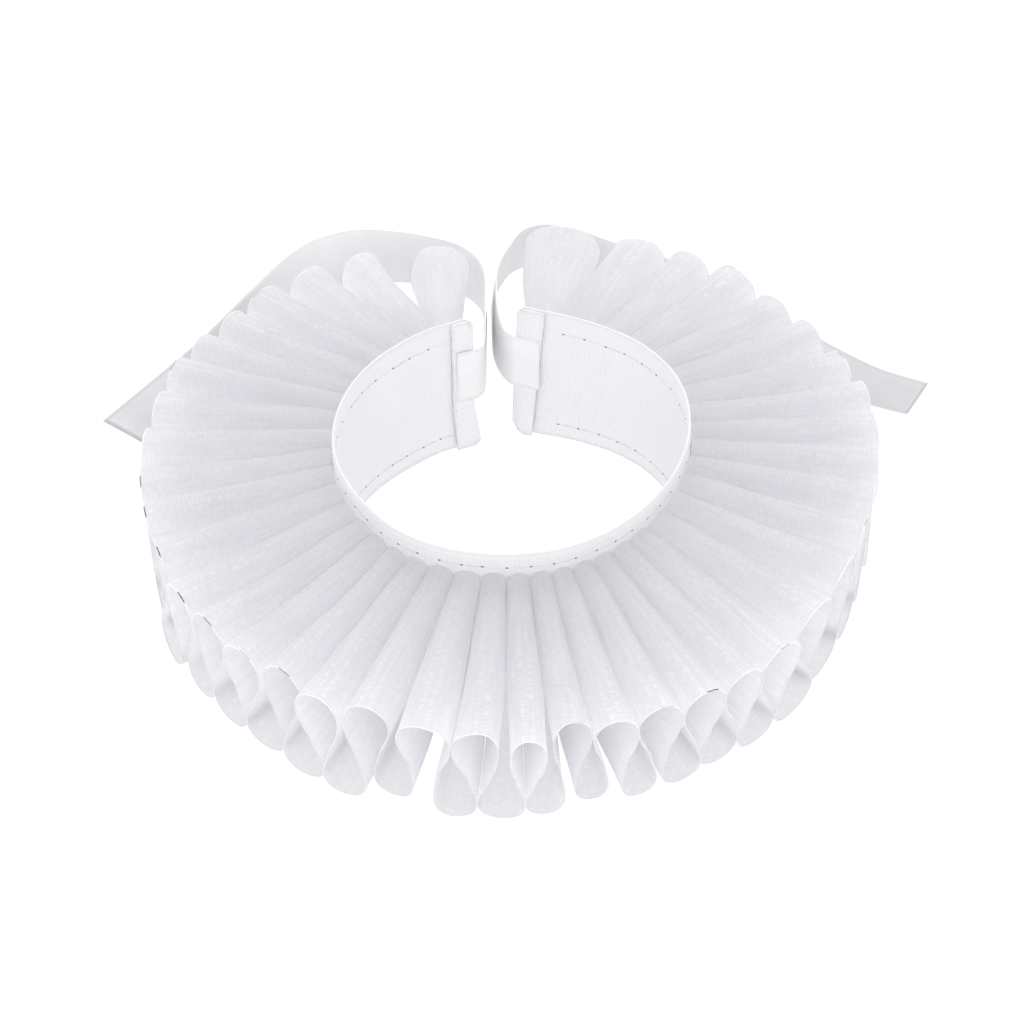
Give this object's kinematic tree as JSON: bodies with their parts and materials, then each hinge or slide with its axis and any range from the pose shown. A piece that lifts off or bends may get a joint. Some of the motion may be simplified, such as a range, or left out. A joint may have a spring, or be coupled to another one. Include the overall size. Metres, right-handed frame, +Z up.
{
  "type": "ruff collar",
  "caption": "Open-backed ruff collar: a translucent strip in figure-eight pleats round an upright neckband, with two ribbon ties at the back.",
  "frame": {"origin": "centre of the bounding box, on the surface that the collar stands on; the axis of the neck ring is at x -0.0020, y -0.00081", "axes": "+Z up along the neck, -Y towards the closed front, +Y towards the opening at the back, +X to the right seen from the front"},
  "size_m": [0.2598, 0.2307, 0.05],
  "materials": {
    "grosgrain": "white ribbed grosgrain ribbon, matt",
    "organza": "white translucent organza with a slight sparkle, narrow rolled hem",
    "satin": "white satin ribbon, soft sheen"
  },
  "bodies": {
    "root": {"neckband": "grosgrain", "ruffle": "organza", "tie_right": "satin", "tie_left": "satin"}
  },
  "joints": []
}
